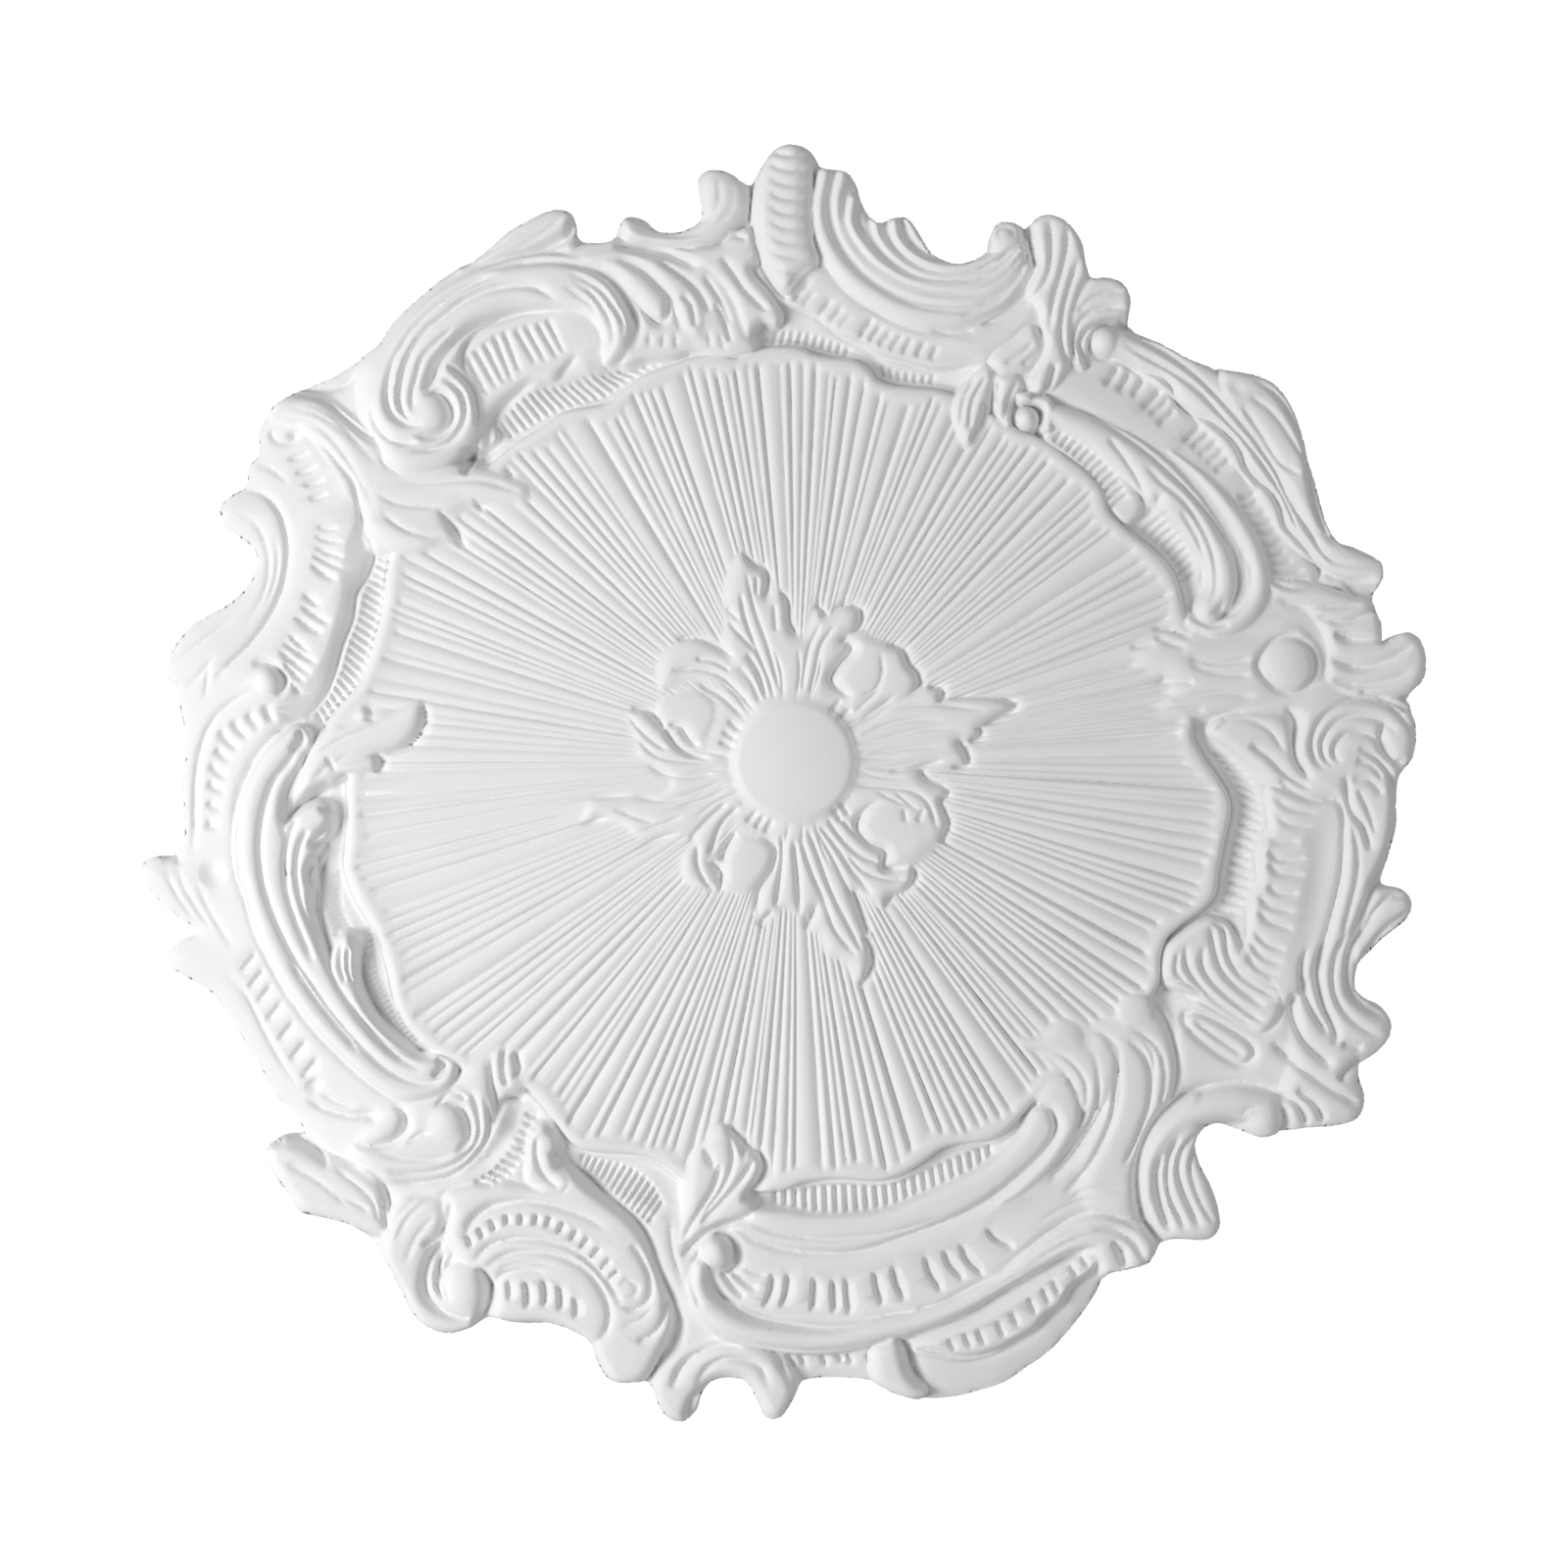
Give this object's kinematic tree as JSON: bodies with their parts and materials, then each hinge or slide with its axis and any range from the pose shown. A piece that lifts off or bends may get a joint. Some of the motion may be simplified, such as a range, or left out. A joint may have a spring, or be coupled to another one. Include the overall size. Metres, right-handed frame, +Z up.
{
  "type": "ceiling rose",
  "caption": "Round rococo ceiling rose with a plain centre boss, leaves, a sunburst field and a scalloped frame of scrolls and shells.",
  "frame": {"origin": "centre of the boss, on the flat back that lies against the ceiling", "axes": "+Z up into the ceiling, the carved front faces -Z; +X is the ornament's right and +Y its foot as seen from below"},
  "size_m": [0.6577, 0.6511, 0.033],
  "materials": {
    "white_primer": "matt white primer on a rigid casting, ready for paint"
  },
  "bodies": {
    "root": {"ceiling_rose": "white_primer"}
  },
  "joints": []
}
